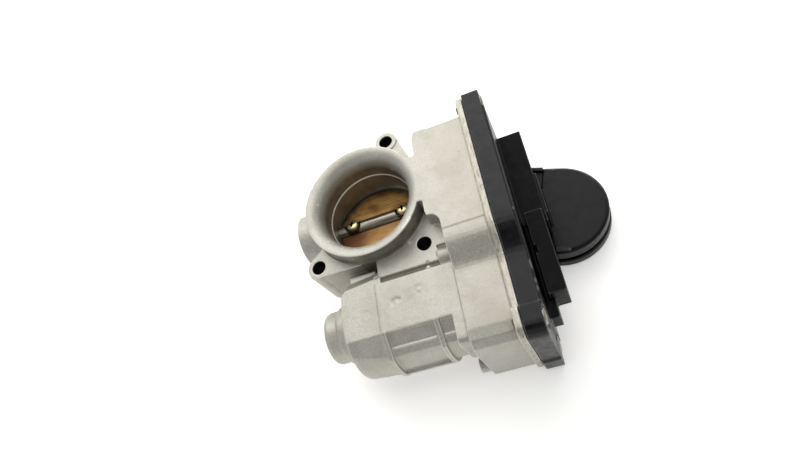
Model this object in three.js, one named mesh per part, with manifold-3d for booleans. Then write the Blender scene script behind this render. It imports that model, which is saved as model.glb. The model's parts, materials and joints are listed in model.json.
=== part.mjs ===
// Drive-by-wire throttle body: an aluminium casting with a bell mouth, a butterfly on a shaft,
// a geared motor beside the bore, and a plastic gear cover with a downward connector tower.
//
// Working frame, mm: X runs along the throttle shaft towards the gear cover, Z along the bore
// towards the bell mouth, and both axes cross at the origin. The last lines move the whole
// model so that its box stands on Z = 0 and is centred in X and Y.
import * as THREE from 'three';
import { mergeVertices } from 'three/addons/utils/BufferGeometryUtils.js';
import Module from 'manifold-3d';

const wasm = await Module();
wasm.setup();

// ---------------------------------------------------------------- driving dimensions
const GAP = 0.3;

const BORE_RADIUS = 22.5;
const BARREL_RADIUS = 27.8;
const BELL_RADIUS = 30;
const BELL_TOP = 25.7;
const FUNNEL_RADIUS = 23;
const FUNNEL_FOOT = 10;
const FLARE_WIDTH = 6.2;
const FLARE_DEPTH = 7;
const FLANGE_TOP = 16;
const MANIFOLD_FACE = -13;

const BOLT_HOLE_RADIUS = 3.55;
const EAR_RADIUS = 5.8;
const BOLT_CENTRES = [[14.7, 36], [-29.7, -23.7], [24.5, -28.4]];

const SHAFT_RADIUS = 4;
const SHAFT_START = -36.5;
const SHAFT_END = 60;
const SHAFT_BOSS_RADIUS = 14;
const SHAFT_BOSS_CENTRE = [1.2, 1];
const SHAFT_BOSS_END = -40.5;
const BEARING_RADIUS = 8.2;
const PLATE_THICKNESS = 1.6;
const REST_TILT = -15 * Math.PI / 180;
const PLATE_SCREW_X = 14.1;

const CASE_START = 36;
const CASE_FLOOR = 39.5;
const CASE_FLANGE_START = 56;
const CASE_FACE = 59.1;
const CASE_TOP = 25.7;
const CASE_CREST = 25.4;
const CASE_STEP = 19;
const CASE_BOTTOM = -26.8;
const CASE_RIGHT = 27.8;
const CASE_LEFT = -84.2;

const COVER_FACE = CASE_FACE + GAP;
const COVER_OUTER = 69;
const COVER_EAR_OUTER = 68;
const COVER_SKIN = 2.6;
const COVER_CHAMFER = 1;
const COVER_SCREW_TIP = 55;
const COVER_SCREW_SEAT = 66;
const COVER_SCREW_TOP = 68.8;
const COVER_SCREWS = [[34.6, 20.5], [33.8, -21.5], [-78.6, 21.2], [-79, -20.5]];

const MOTOR_Y = -54.4;
const MOTOR_Z = -2.3;
const MOTOR_RADIUS = 25.2;
const MOTOR_FLAT_TOP = 16.4;
const MOTOR_FLAT_EDGE = -65.6;
const WINDOW_DEPTH = 1.9;
const SHELF_EDGE = -38.6;
const MOTOR_BORE_RADIUS = 15.8;
const MOTOR_BORE_START = -17.2;
const MOTOR_CAN_RADIUS = 15.4;
const MOTOR_SHAFT_RADIUS = 1.75;

const PINION_TEETH = 10;
const WHEEL_TEETH = 38;
const IDLER_TEETH = 18;
const SECTOR_TEETH = 43;
const GEAR_MODULE = 1;
const SECTOR_X = [47.5, 52.5];
const IDLER_X = [46.7, 54.2];
const WHEEL_X = [54.5, 58.5];
const SWING_CLOSE = 8;
const SWING_OPEN = 75;

const TOWER_X = 86.8;
const TOWER_Y = -17.4;
const TOWER_RADIUS = 23.5;
const TOWER_TOP = -11.6;
const TOWER_SHOULDER = -20;
const TOWER_MOUTH = -25.2;
const TOWER_TURN = -20 * Math.PI / 180;
const TOWER_CHAMFER = 1.4;
const CAP_TOP = -22;
const CAP_BOTTOM = -27.4;

// ---------------------------------------------------------------- shape helpers
const TAU = 2 * Math.PI;
const TURN_Z_TO_X = new THREE.Matrix4().set(0, 0, 1, 0, 1, 0, 0, 0, 0, 1, 0, 0, 0, 0, 0, 1);

function toSolid(geometry) {
  geometry.deleteAttribute('normal');
  geometry.deleteAttribute('uv');
  const merged = mergeVertices(geometry, 1e-4);
  const corners = merged.index.array;
  const kept = [];
  for (let i = 0; i < corners.length; i += 3) {
    const [a, b, c] = [corners[i], corners[i + 1], corners[i + 2]];
    if (a !== b && b !== c && c !== a) kept.push(a, b, c);
  }
  return new wasm.Manifold(new wasm.Mesh({
    numProp: 3,
    vertProperties: Float32Array.from(merged.attributes.position.array),
    triVerts: Uint32Array.from(kept),
  }));
}

function toGeometry(solid) {
  const mesh = solid.getMesh();
  const geometry = new THREE.BufferGeometry();
  geometry.setAttribute('position', new THREE.BufferAttribute(mesh.vertProperties, 3));
  geometry.setIndex(new THREE.BufferAttribute(mesh.triVerts, 1));
  geometry.computeVertexNormals();
  return geometry;
}

function joined(...solids) {
  return solids.reduce((sum, solid) => sum.add(solid));
}

function cut(solid, ...tools) {
  return tools.reduce((left, tool) => left.subtract(tool), solid);
}

function block([x0, x1], [y0, y1], [z0, z1]) {
  const geometry = new THREE.BoxGeometry(x1 - x0, y1 - y0, z1 - z0);
  geometry.translate((x0 + x1) / 2, (y0 + y1) / 2, (z0 + z1) / 2);
  return toSolid(geometry);
}

function rodX(radius, [x0, x1], y = 0, z = 0, sides = 24) {
  const geometry = new THREE.CylinderGeometry(radius, radius, x1 - x0, sides);
  geometry.rotateZ(-Math.PI / 2);
  geometry.translate((x0 + x1) / 2, y, z);
  return toSolid(geometry);
}

function rodZ(radius, [z0, z1], x = 0, y = 0, sides = 32) {
  const geometry = new THREE.CylinderGeometry(radius, radius, z1 - z0, sides);
  geometry.rotateX(Math.PI / 2);
  geometry.translate(x, y, (z0 + z1) / 2);
  return toSolid(geometry);
}

function ringX(outer, inner, [x0, x1], y = 0, z = 0, sides = 24) {
  return cut(rodX(outer, [x0, x1], y, z, sides), rodX(inner, [x0 - 1, x1 + 1], y, z, sides));
}

function prismZ(shape, [z0, z1], curveSegments = 5) {
  const geometry = new THREE.ExtrudeGeometry(shape, {
    depth: z1 - z0, bevelEnabled: false, curveSegments,
  });
  geometry.translate(0, 0, z0);
  return toSolid(geometry);
}

// A prism whose outline is given in (y, z) and which runs along X.
function prismX(shape, [x0, x1], curveSegments = 3) {
  const geometry = new THREE.ExtrudeGeometry(shape, {
    depth: x1 - x0, bevelEnabled: false, curveSegments,
  });
  geometry.applyMatrix4(TURN_Z_TO_X);
  geometry.translate(x0, 0, 0);
  return toSolid(geometry);
}

// A turned body about X through (y, z); the profile is a list of [radius, x].
function turnedX(profile, y, z, sides = 48) {
  const points = profile.map(([radius, along]) => new THREE.Vector2(radius, along));
  const geometry = new THREE.LatheGeometry(points, sides);
  geometry.rotateZ(-Math.PI / 2);
  geometry.translate(0, y, z);
  return toSolid(geometry);
}

// A turned body about Z; the profile is a list of [radius, z].
function turnedZ(profile, sides = 64) {
  const points = profile.map(([radius, along]) => new THREE.Vector2(radius, along));
  const geometry = new THREE.LatheGeometry(points, sides);
  geometry.rotateX(Math.PI / 2);
  return toSolid(geometry);
}

// A closed outline through [u, v, corner size] points, with its corners rounded off.
function outline(corners) {
  const shape = new THREE.Shape();
  const count = corners.length;
  corners.forEach(([u, v, size = 0], i) => {
    const here = new THREE.Vector2(u, v);
    const before = new THREE.Vector2(...corners[(i + count - 1) % count]);
    const after = new THREE.Vector2(...corners[(i + 1) % count]);
    const start = before.sub(here).setLength(size).add(here);
    const end = after.sub(here).setLength(size).add(here);
    if (i === 0) shape.moveTo(start.x, start.y);
    else shape.lineTo(start.x, start.y);
    if (size > 0) shape.quadraticCurveTo(u, v, end.x, end.y);
  });
  shape.closePath();
  return shape;
}

// A solid through [shape, height] layers, from the bottom up; the shapes have matching points.
function layered(layers, curveSegments = 3) {
  const rings = layers.map(([shape]) => {
    const points = shape.getPoints(curveSegments);
    if (points[0].distanceTo(points[points.length - 1]) < 1e-6) points.pop();
    return points;
  });
  const count = rings[0].length;
  const spots = rings.flatMap((ring, i) => ring.flatMap(({ x, y }) => [x, y, layers[i][1]]));
  const faces = [];
  for (let i = 0; i + 1 < rings.length; i++) {
    for (let j = 0; j < count; j++) {
      const [a, b] = [i * count + j, i * count + (j + 1) % count];
      faces.push(a, b, b + count, a, b + count, a + count);
    }
  }
  const top = (rings.length - 1) * count;
  THREE.ShapeUtils.triangulateShape(rings[0], []).forEach(([a, b, c]) => faces.push(c, b, a));
  THREE.ShapeUtils.triangulateShape(rings[rings.length - 1], []).forEach((corners) => {
    faces.push(...corners.map((corner) => top + corner));
  });
  const geometry = new THREE.BufferGeometry();
  geometry.setAttribute('position', new THREE.Float32BufferAttribute(spots, 3));
  geometry.setIndex(faces);
  return geometry;
}

// The same corners moved inwards by a distance; the outline runs anticlockwise.
function inset(corners, distance) {
  const count = corners.length;
  return corners.map(([u, v, size = 0], i) => {
    const here = new THREE.Vector2(u, v);
    const before = new THREE.Vector2(...corners[(i + count - 1) % count]);
    const after = new THREE.Vector2(...corners[(i + 1) % count]);
    const into = here.clone().sub(before).normalize();
    const away = after.sub(here).normalize();
    const turn = into.x * away.y - into.y * away.x;
    const move = new THREE.Vector2(-into.y - away.y, into.x + away.x);
    move.multiplyScalar(distance / (1 + into.dot(away)));
    const rounded = Math.max(0.2, size - Math.sign(turn) * distance);
    return [u + move.x, v + move.y, size > 0 ? rounded : 0];
  });
}

// ---------------------------------------------------------------- gears
const PRESSURE_ANGLE = 20 * Math.PI / 180;
const ADDENDUM = 0.8 * GEAR_MODULE;
const DEDENDUM = 1.35 * GEAR_MODULE;
const TOOTH_SHARE = 0.41;

function pitchRadius(teeth) {
  return teeth * GEAR_MODULE / 2;
}

function involute(angle) {
  return Math.tan(angle) - angle;
}

// Corner points of one tooth, in order of rising angle.
function toothPoints(teeth, centreAngle) {
  const pitch = pitchRadius(teeth);
  const base = pitch * Math.cos(PRESSURE_ANGLE);
  const halfAtPitch = TOOTH_SHARE * Math.PI / teeth;
  const halfAngle = (radius) => {
    const pressure = Math.acos(Math.min(1, base / radius));
    return halfAtPitch + involute(PRESSURE_ANGLE) - involute(pressure);
  };
  const radii = [pitch - DEDENDUM, pitch, pitch + ADDENDUM];
  const rising = radii.map((radius) => [radius, centreAngle - halfAngle(radius)]);
  const falling = radii.map((radius) => [radius, centreAngle + halfAngle(radius)]).reverse();
  return [...rising, ...falling].map(([radius, angle]) => (
    new THREE.Vector2(radius * Math.cos(angle), radius * Math.sin(angle))
  ));
}

function gearSolid(teeth, toothAngle, along, [y, z]) {
  const points = [];
  for (let i = 0; i < teeth; i++) points.push(...toothPoints(teeth, toothAngle + i * TAU / teeth));
  const moved = points.map((point) => point.add(new THREE.Vector2(y, z)));
  return prismX(new THREE.Shape(moved), along);
}

const motorCentre = new THREE.Vector2(MOTOR_Y, MOTOR_Z);
const idlerToShaft = pitchRadius(IDLER_TEETH) + pitchRadius(SECTOR_TEETH);
const idlerToMotor = pitchRadius(WHEEL_TEETH) + pitchRadius(PINION_TEETH);

// The idler sits where its two centre distances meet, on the lower side of the line of centres.
function idlerCentre() {
  const span = motorCentre.length();
  const along = (idlerToShaft ** 2 - idlerToMotor ** 2 + span ** 2) / (2 * span);
  const aside = Math.sqrt(idlerToShaft ** 2 - along ** 2);
  const direction = motorCentre.clone().normalize();
  return new THREE.Vector2(
    direction.x * along - direction.y * aside,
    direction.y * along + direction.x * aside,
  );
}

const idler = idlerCentre();
const shaftToIdler = Math.atan2(idler.y, idler.x);
const idlerToMotorAngle = Math.atan2(MOTOR_Z - idler.y, MOTOR_Y - idler.x);

// ---------------------------------------------------------------- outlines in (y, z)
const CASE_BODY = [
  [CASE_RIGHT, CASE_BOTTOM, 4], [CASE_RIGHT, CASE_TOP, 2], [-29, CASE_TOP], [-29.4, CASE_CREST],
  [-35.3, CASE_CREST, 3], [-46.8, CASE_STEP, 2.5], [CASE_LEFT, CASE_STEP, 9],
  [CASE_LEFT, CASE_BOTTOM, 3],
];
const CASE_FLANGE = [
  [38.6, -27, 4], [38.6, 25.9, 3], [-34.4, 26, 4], [-46.8, 19.4, 4], [-71.8, 19.4, 0.8],
  [-72.8, 25.2, 1.5], [-83.2, 25.2, 3], [-86, 20.6, 2], [-86, -27, 3],
];
const COVER_RIM = [
  [40, -28, 4], [40, 26.4, 3], [-34.4, 26.4, 4], [-46.8, 19.8, 4], [-71.5, 19.8, 0.8],
  [-72.5, 26, 1.5], [-83.5, 26, 3], [-86.5, 21.2, 2], [-86.5, -13, 0.6],
  [-87.4, -14.5, 0.6], [-87.4, -28, 3],
];
const GASKET = [
  [27, -25.8, 3], [27, 25, 2], [-33.8, 25, 4], [-46.9, 18, 4], [-83.2, 18, 8],
  [-83.2, -14.5, 1.5], [-74, -14.5, 2], [-74, -25.8, 1.5],
];
const GASKET_WIDTH = 1.4;

// ---------------------------------------------------------------- materials
function finish(colour, roughness, metalness) {
  return new THREE.MeshStandardMaterial({ color: colour, roughness, metalness });
}

const CAST = finish(0xc9c6bf, 0.5, 0.9);
const STEEL = finish(0xb4b2ad, 0.3, 1);
const ZINC_YELLOW = finish(0xc9b06a, 0.35, 1);
const BRONZE = finish(0xa87a3c, 0.35, 1);
const BLACK_PLASTIC = finish(0x1b1c1e, 0.55, 0);
const BOARD_GREEN = finish(0x245a35, 0.6, 0);
const NYLON = finish(0xd8d2c2, 0.6, 0);
const RUBBER = finish(0x151515, 0.8, 0);
const MAGNET = finish(0x3a3a3d, 0.6, 0.2);
const COPPER = finish(0xb87333, 0.4, 1);

const group = new THREE.Group();
const throttleGroup = new THREE.Group();
throttleGroup.rotation.x = REST_TILT;
group.add(throttleGroup);

function addPiece(name, solid, material, parent = group) {
  const mesh = new THREE.Mesh(toGeometry(solid), material);
  mesh.name = name;
  parent.add(mesh);
  return mesh;
}

// ---------------------------------------------------------------- main casting
function bellAndBarrel() {
  return turnedZ([
    [0, MANIFOLD_FACE], [BARREL_RADIUS - 0.5, MANIFOLD_FACE], [BARREL_RADIUS, MANIFOLD_FACE + 0.5],
    [BARREL_RADIUS, FLANGE_TOP - 4], [BELL_RADIUS - 0.4, FLANGE_TOP - 1],
    [BELL_RADIUS, BELL_TOP - 1.2], [BELL_RADIUS - 0.2, BELL_TOP - 0.4],
    [BELL_RADIUS - 0.6, BELL_TOP], [0, BELL_TOP],
  ]);
}

function boreTool() {
  const steps = 7;
  const profile = [
    [0, MANIFOLD_FACE - 1], [BORE_RADIUS, MANIFOLD_FACE - 1], [BORE_RADIUS, FUNNEL_FOOT],
    [FUNNEL_RADIUS, FUNNEL_FOOT + 0.4],
  ];
  for (let i = 0; i <= steps; i++) {
    const turn = (i / steps) * (Math.PI / 2);
    profile.push([
      FUNNEL_RADIUS + FLARE_WIDTH * (1 - Math.cos(turn)),
      BELL_TOP - FLARE_DEPTH * (1 - Math.sin(turn)),
    ]);
  }
  profile.push([FUNNEL_RADIUS + FLARE_WIDTH, BELL_TOP + 1], [0, BELL_TOP + 1]);
  return turnedZ(profile);
}

function boltEars() {
  const full = [MANIFOLD_FACE, FLANGE_TOP];
  const columns = BOLT_CENTRES.map(([x, y]) => rodZ(EAR_RADIUS, full, x, y, 24));
  const topWeb = prismZ(outline([
    [9.1, 35], [3, 25], [15, 10], [23, 14], [25.8, 21.2, 1], [20.4, 36.4],
  ]), [-9, FLANGE_TOP - 0.8]);
  const leftWeb = prismZ(outline([
    [-34.6, -27.6], [-31, -29.4, 0.6], [0, -29.4], [0, -15], [-22, -10], [-34.5, -20.5],
  ]), full);
  const rightShelf = prismZ(outline([
    [0, -37.3, 1], [1.6, SHELF_EDGE, 0.5], [30.8, SHELF_EDGE, 0.8], [29.9, -31.2, 0.5],
    [38, -31.2], [38, -22], [33.9, -20.5, 1], [31.5, -14.2, 2], [27, -12], [10, -10], [0, -15],
  ]), [2, FLANGE_TOP]);
  const scallop = rodZ(1.3, [11, 20], 24.4, SHELF_EDGE - 0.2, 16);
  const rolledEnd = rodX(4.6, [29.6, CASE_START + 1], -36, 12, 28);
  return joined(...columns, topWeb, leftWeb, cut(rightShelf, scallop), rolledEnd);
}

// The space above the motor's flat top and above the slope in front of it.
function aboveMotor(along, rise) {
  const top = MOTOR_FLAT_TOP + rise;
  return joined(
    block(along, [-100, SHELF_EDGE], [Math.max(MOTOR_FLAT_TOP, top), 40]),
    prismX(outline([[MOTOR_FLAT_EDGE, top], [MOTOR_FLAT_EDGE, 40], [-95, 40], [-95, top - 18]]), along),
  );
}

function motorBand(along, radius, rise) {
  const band = cut(rodX(radius, along, MOTOR_Y, MOTOR_Z, 48), aboveMotor([-40, 40], rise));
  return band.intersect(block([-40, 40], [-100, -41.6], [-40, 40]));
}

function motorBarrel() {
  const barrel = turnedX([
    [0, -33.4], [11.2, -33.4], [12.2, -32.8], [12.6, -31.6], [12.8, -26.2], [14, -25.4],
    [14.4, -21.6], [16, -20.6], [21, -19.9], [22.4, -19.2], [23.2, -17.4], [24.3, -2.6],
    [MOTOR_RADIUS, -2.2], [MOTOR_RADIUS, 37], [0, 37],
  ], MOTOR_Y, MOTOR_Z, 48);
  const underShelf = block([0, CASE_START], [SHELF_EDGE - 0.1, -20], [FLANGE_TOP - 0.5, 40]);
  const windows = [
    block([-0.4, 21.9], [-100, MOTOR_FLAT_EDGE], [-6.5, 40]),
    block([24.2, 30.8], [-100, MOTOR_FLAT_EDGE], [-40, 40]),
  ];
  const core = motorBand([-1, 34], MOTOR_RADIUS - WINDOW_DEPTH, -WINDOW_DEPTH);
  const partingLine = [[-1, 22.2], [24, 31]].map((along) => (
    block(along, [-72.1, -71.5], [7, 11.4])
  ));
  const ridgeGroove = cut(
    rodX(30, [22.9, 23.4], MOTOR_Y, MOTOR_Z, 48), rodX(24.3, [22, 24], MOTOR_Y, MOTOR_Z, 48),
    block([22, 24], [MOTOR_FLAT_EDGE + 0.4, 0], [-40, 40]),
  );
  const slopeGroove = prismX(outline([
    [MOTOR_FLAT_EDGE, 15.8], [MOTOR_FLAT_EDGE, 30], [-95, 30], [-95, -2.2],
  ]), [22.9, 23.4]);
  const body = cut(barrel, aboveMotor([-40, CASE_START + 1], 0), underShelf, ...windows);
  const banded = joined(body, motorBand([-2.2, -0.4], MOTOR_RADIUS + 0.3, 0.3));
  return joined(cut(banded, ridgeGroove, slopeGroove), core, ...partingLine);
}

// The gutter between the shelf's edge and the motor's flat top.
function shelfGutter() {
  const gutter = prismX(outline([
    [SHELF_EDGE, 12.8], [SHELF_EDGE, 30], [-41.6, 30], [-41.6, MOTOR_FLAT_TOP], [-39.4, 12.8],
  ]), [0.8, CASE_START]);
  return cut(gutter, rodZ(1.2, [5, 15.9], 24.2, -40.9, 16), block(
    [31, CASE_START + 1], [-41, SHELF_EDGE + 1], [5, 12.8],
  ));
}

function motorSideDetails() {
  const endBlock = prismX(outline([
    [-60, 4], [-60, MOTOR_FLAT_TOP], [-79.2, MOTOR_FLAT_TOP, 3.4], [-79.2, 4],
  ]), [30.6, CASE_START + 1], 5);
  const ledge = block([-17, -3.5], [-35, -31], [8.3, 9.4]);
  const saddle = block([0, CASE_START + 1], [-42, -24], [-20, 9]);
  const rearLug = rodX(3.6, [31, CASE_START + 1], -79.6, -20.5, 20);
  return joined(endBlock, ledge, saddle, rearLug);
}

function gearCase() {
  const body = prismX(outline(CASE_BODY), [CASE_START, CASE_FACE]);
  const flange = prismX(outline(CASE_FLANGE), [CASE_FLANGE_START, CASE_FACE]);
  const deck = prismZ(outline([
    [31.6, CASE_RIGHT, 0.5], [31.2, 25.2, 0.5], [30.4, 24, 0.5], [30.3, 14.1, 1.2], [22, 14.1],
    [22, -11.6], [29.8, -11.6, 1.2], [29.9, -18, 0.8], [30.3, -20.2, 0.6], [33.4, -20.2, 2],
    [36, -23.5, 2], [36, -28.6], [CASE_START + 2, -28.6], [CASE_START + 2, CASE_RIGHT],
  ]), [4, CASE_TOP]);
  const lowerDeck = block([20, CASE_START + 2], [-26, 26], [MANIFOLD_FACE, 5]);
  return joined(body, flange, deck, lowerDeck);
}

function gearCaseCavity() {
  const room = prismX(outline(inset(GASKET, GASKET_WIDTH + 0.8)), [CASE_FLOOR, CASE_FACE + 1]);
  const bearingBoss = rodX(12, [CASE_FLOOR - 1, 46]);
  const openStop = block([46.8, 53], [4.5, 8], [18, 30]);
  const closeStopBoss = block([46.8, 53], [3.6, 11.4], [-30, -22.4]);
  return cut(room, bearingBoss, openStop, closeStopBoss);
}

function throttleHousing() {
  const boss = rodX(SHAFT_BOSS_RADIUS, [SHAFT_BOSS_END, 38], ...SHAFT_BOSS_CENTRE, 36);
  const motorSide = cut(joined(motorBarrel(), motorSideDetails()), shelfGutter());
  const casting = joined(bellAndBarrel(), boltEars(), boss, gearCase(), motorSide);
  const boltHoles = BOLT_CENTRES.map(([x, y]) => rodZ(BOLT_HOLE_RADIUS, [-40, 40], x, y, 24));
  const screwHoles = COVER_SCREWS.map(([y, z]) => rodX(2.3, [50, 70], y, z, 20));
  return cut(
    casting, boreTool(), gearCaseCavity(), ...boltHoles, ...screwHoles,
    rodX(SHAFT_RADIUS + GAP, [-38, CASE_FACE]),
    rodX(BEARING_RADIUS + GAP, [SHAFT_BOSS_END - 1, -29.3]),
    rodX(BEARING_RADIUS + GAP, [31, 47]),
    rodX(6.8, [-29.4, -25.6]),
    rodX(6.8, [27.2, 31.1]),
    rodX(MOTOR_BORE_RADIUS, [MOTOR_BORE_START, CASE_FLOOR + 1], MOTOR_Y, MOTOR_Z, 40),
    rodX(6.2, [-23.5, MOTOR_BORE_START + 1], MOTOR_Y, MOTOR_Z),
    rodX(3 + GAP, [CASE_START - 2.5, CASE_FLOOR + 1], idler.x, idler.y, 20),
    ...motorScrewPlaces().map(([y, z]) => rodX(1.5 + GAP, [33, 41], y, z, 16)),
    rodZ(2 + GAP, [-30, -20], 50, 7.5, 20),
  );
}

// ---------------------------------------------------------------- butterfly and its shaft
function throttleShaft() {
  const slotHalf = PLATE_THICKNESS / 2 + GAP;
  const slot = block([-BORE_RADIUS, BORE_RADIUS], [-6, 6], [-slotHalf, slotHalf]);
  const holes = [-PLATE_SCREW_X, PLATE_SCREW_X].flatMap((x) => [
    rodZ(1.9 + GAP, [-6, 6], x, 0, 20),
    rodZ(4.1, [3, 6], x, 0, 24),
  ]);
  return cut(rodX(SHAFT_RADIUS, [SHAFT_START, SHAFT_END], 0, 0, 36), slot, ...holes);
}

function throttlePlate() {
  const radius = BORE_RADIUS - GAP;
  const half = PLATE_THICKNESS / 2;
  const disc = rodZ(radius, [-half, half], 0, 0, 72);
  const holes = [-PLATE_SCREW_X, PLATE_SCREW_X].map((x) => rodZ(1.9 + GAP, [-3, 3], x, 0, 20));
  return cut(disc, ...holes);
}

function plateScrew(x) {
  const head = turnedZ([
    [0, 3.2], [3.5, 3.2], [3.5, 4.1], [3, 5], [2, 5.5], [0, 5.6],
  ], 24);
  const recess = joined(
    block([-2, 2], [-0.45, 0.45], [4.4, 7]), block([-0.45, 0.45], [-2, 2], [4.4, 7]),
  );
  const screw = cut(joined(head, rodZ(1.9, [-4.4, 3.4], 0, 0, 20)), recess);
  const geometry = toGeometry(screw);
  geometry.translate(x, 0, 0);
  return toSolid(geometry);
}

function sectorGear() {
  const spare = 14 * Math.PI / 180;
  const from = shaftToIdler - SWING_CLOSE * Math.PI / 180 - spare;
  const to = shaftToIdler + SWING_OPEN * Math.PI / 180 + spare;
  const pitchAngle = TAU / SECTOR_TEETH;
  const first = Math.ceil((from - shaftToIdler) / pitchAngle);
  const last = Math.floor((to - shaftToIdler) / pitchAngle);
  const points = [];
  for (let i = first; i <= last; i++) {
    points.push(...toothPoints(SECTOR_TEETH, shaftToIdler + i * pitchAngle));
  }
  const hubSteps = 14;
  const hubFrom = to + 0.25;
  const hubTo = from + TAU - 0.25;
  for (let i = 0; i <= hubSteps; i++) {
    const angle = hubFrom + (hubTo - hubFrom) * i / hubSteps;
    points.push(new THREE.Vector2(9 * Math.cos(angle), 9 * Math.sin(angle)));
  }
  const web = prismX(new THREE.Shape(points), SECTOR_X);
  const hub = rodX(8, [46.7, 54], 0, 0, 28);
  const middle = (from + to) / 2;
  const window = [-0.42, 0.42].map((turn) => rodX(
    3.2, [46, 54], 14.2 * Math.cos(middle + turn), 14.2 * Math.sin(middle + turn), 20,
  ));
  return cut(joined(web, hub), rodX(SHAFT_RADIUS + GAP, [40, 60]), ...window);
}

// ---------------------------------------------------------------- idler, motor and their gears
function idlerGear() {
  const wheelPhase = idlerToMotorAngle;
  const pinionPhase = shaftToIdler + Math.PI + Math.PI / IDLER_TEETH;
  const place = [idler.x, idler.y];
  const wheel = gearSolid(WHEEL_TEETH, wheelPhase, WHEEL_X, place);
  const pinion = gearSolid(IDLER_TEETH, pinionPhase, [IDLER_X[0], WHEEL_X[0] + 0.5], place);
  const lightening = [0, 1, 2, 3, 4].map((i) => rodX(
    2.6, [55, 60], idler.x + 13 * Math.cos(i * TAU / 5), idler.y + 13 * Math.sin(i * TAU / 5), 16,
  ));
  const hub = rodX(5.5, [WHEEL_X[0], 60.4], idler.x, idler.y, 24);
  return cut(
    joined(wheel, pinion, hub), rodX(3 + GAP, [40, 62], idler.x, idler.y, 20), ...lightening,
  );
}

function motorPinion() {
  const phase = idlerToMotorAngle + Math.PI + Math.PI / PINION_TEETH;
  const gear = gearSolid(PINION_TEETH, phase, [53.6, 59], [MOTOR_Y, MOTOR_Z]);
  return cut(gear, rodX(MOTOR_SHAFT_RADIUS + 0.25, [50, 62], MOTOR_Y, MOTOR_Z, 16));
}

function motorScrewPlaces() {
  return [45, 225].map((degrees) => {
    const angle = degrees * Math.PI / 180;
    return [MOTOR_Y + 18.6 * Math.cos(angle), MOTOR_Z + 18.6 * Math.sin(angle)];
  });
}

function motorCan() {
  return turnedX([
    [0, -22.6], [5.6, -22.6], [5.6, -15], [MOTOR_CAN_RADIUS - 1.4, -15],
    [MOTOR_CAN_RADIUS, -13.6], [MOTOR_CAN_RADIUS, 39.4], [MOTOR_CAN_RADIUS - 1.4, 39.4],
    [MOTOR_CAN_RADIUS - 1.4, -13.4], [4.6, -13.4], [4.6, -21.4], [0, -21.4],
  ], MOTOR_Y, MOTOR_Z, 36);
}

function motorEndPlate() {
  const ears = motorScrewPlaces().map(([y, z]) => rodX(3.6, [39.8, 41.8], y, z, 20));
  const disc = rodX(17.6, [39.8, 41.8], MOTOR_Y, MOTOR_Z, 36);
  const hub = rodX(6.5, [37.5, 44.6], MOTOR_Y, MOTOR_Z, 24);
  const screwHoles = motorScrewPlaces().map(([y, z]) => rodX(1.5 + GAP, [38, 44], y, z, 16));
  const slots = [-9, 9].map((dz) => block(
    [36, 46], [MOTOR_Y - 9.7, MOTOR_Y - 5.8], [MOTOR_Z + dz - 0.8, MOTOR_Z + dz + 0.8],
  ));
  return cut(
    joined(disc, hub, ...ears), rodX(4.5 + GAP, [36, 46], MOTOR_Y, MOTOR_Z, 20),
    ...screwHoles, ...slots,
  );
}

function motorRotor() {
  return turnedX([
    [0, -20.5], [MOTOR_SHAFT_RADIUS, -20.5], [MOTOR_SHAFT_RADIUS, -9], [9.3, -9], [9.3, 22],
    [MOTOR_SHAFT_RADIUS, 22], [MOTOR_SHAFT_RADIUS, 27.5], [4.8, 27.5], [4.8, 34.5],
    [MOTOR_SHAFT_RADIUS, 34.5], [MOTOR_SHAFT_RADIUS, 59.4], [0, 59.4],
  ], MOTOR_Y, MOTOR_Z, 20);
}

function motorMagnet(side) {
  const reach = 62 * Math.PI / 180;
  const middle = side * Math.PI / 2;
  const shape = new THREE.Shape();
  shape.absarc(MOTOR_Y, MOTOR_Z, 13.6, middle - reach, middle + reach, false);
  shape.absarc(MOTOR_Y, MOTOR_Z, 10.2, middle + reach, middle - reach, true);
  shape.closePath();
  return prismX(shape, [-11, 24], 10);
}

function motorBrush(side) {
  const near = MOTOR_Y + side * 5.2;
  const far = MOTOR_Y + side * 12;
  return block(
    [28.8, 33.2], [Math.min(near, far), Math.max(near, far)], [MOTOR_Z - 2, MOTOR_Z + 2],
  );
}

function motorTerminal(dz) {
  return block(
    [36.5, 64.8], [MOTOR_Y - 9.3, MOTOR_Y - 6.2], [MOTOR_Z + dz - 0.4, MOTOR_Z + dz + 0.4],
  );
}

function capScrew(y, z, shank, [tip, seat], head, headTop) {
  const body = joined(
    rodX(shank, [tip, seat + 0.2], y, z, 16), rodX(head, [seat, headTop], y, z, 24),
  );
  const recess = joined(
    block([headTop - 1.2, headTop + 1], [y - head * 0.5, y + head * 0.5], [z - 0.4, z + 0.4]),
    block([headTop - 1.2, headTop + 1], [y - 0.4, y + 0.4], [z - head * 0.5, z + head * 0.5]),
  );
  return cut(body, recess);
}

function returnSpring() {
  class Helix extends THREE.Curve {
    getPoint(t, target = new THREE.Vector3()) {
      const angle = t * 3 * TAU;
      return target.set(41.2 + 5.1 * t, 13.6 * Math.cos(angle), 13.6 * Math.sin(angle));
    }
  }
  const wire = new THREE.Shape();
  for (let i = 0; i < 6; i++) {
    const angle = i * TAU / 6;
    if (i === 0) wire.moveTo(0.7, 0);
    else wire.lineTo(0.7 * Math.cos(angle), 0.7 * Math.sin(angle));
  }
  wire.closePath();
  const geometry = new THREE.ExtrudeGeometry(wire, {
    steps: 66, bevelEnabled: false, extrudePath: new Helix(),
  });
  return toSolid(geometry);
}

// ---------------------------------------------------------------- gear cover and connector
// A round end of the given radius, closed by a flat back a given way behind its centre.
function roundTongue(radius, back) {
  const shape = new THREE.Shape();
  shape.moveTo(-back, -radius);
  shape.lineTo(0, -radius);
  shape.absarc(0, 0, radius, -Math.PI / 2, Math.PI / 2, false);
  shape.lineTo(-back, radius);
  shape.closePath();
  return shape;
}

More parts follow.
